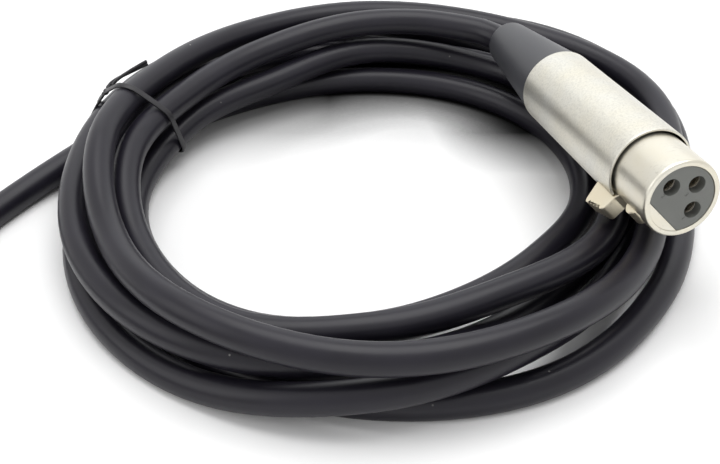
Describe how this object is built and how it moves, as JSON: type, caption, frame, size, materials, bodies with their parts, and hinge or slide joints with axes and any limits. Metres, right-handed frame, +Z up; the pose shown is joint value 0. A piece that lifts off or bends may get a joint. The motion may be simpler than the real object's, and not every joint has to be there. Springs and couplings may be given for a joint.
{
  "type": "xlr cable coil",
  "caption": "Black microphone cable laid in a loose round coil, tied with a twist tie, with satin nickel three-pole plugs at its ends.",
  "frame": {"origin": "middle of the object's box in plan, on the floor it lies on", "axes": "+Z up off the floor, +X to the right and +Y away from the viewer; the female plug points to -Y"},
  "size_m": [0.1777, 0.2251, 0.0338],
  "materials": {
    "jacket": "matte PVC",
    "tie": "matte",
    "shell": "satin nickel",
    "nose": "satin nickel, smooth",
    "insert": "moulded grey",
    "contact": "gold plated",
    "latch": "satin nickel, cast",
    "steel": "spring steel",
    "core_screen": "twisted copper screen",
    "core_red": "PVC insulation",
    "core_white": "PVC insulation",
    "chuck": "moulded",
    "bush": "moulded",
    "boot": "smooth matte"
  },
  "bodies": {
    "cable": {"cable_coil": "jacket", "cable_lead": "jacket", "twist_tie": "tie", "female_shell": "shell", "female_nose": "nose", "female_insert": "insert", "female_contact_1": "contact", "female_contact_2": "contact", "female_contact_3": "contact", "female_latch_pin": "steel", "female_latch_spring": "steel", "female_core_1": "core_screen", "female_core_2": "core_red", "female_core_3": "core_white", "female_chuck": "chuck", "female_bush": "bush", "female_boot": "boot", "male_shell": "shell", "male_insert": "insert", "male_pin_1": "contact", "male_pin_2": "contact", "male_pin_3": "contact", "male_core_1": "core_screen", "male_core_2": "core_red", "male_core_3": "core_white", "male_chuck": "chuck", "male_bush": "bush", "male_boot": "boot"},
    "latch": {"female_latch": "latch"}
  },
  "joints": [
    {"name": "latch_press", "type": "hinge", "parent": "cable", "child": "latch", "pos_m": [0.06138, 0.01841, 0.0194], "axis": [-0.6518, -0.1135, 0.7499], "range_deg": [0, 4], "stiffness_Nm_per_rad": 0.03, "springref_deg": -5.73}
  ]
}
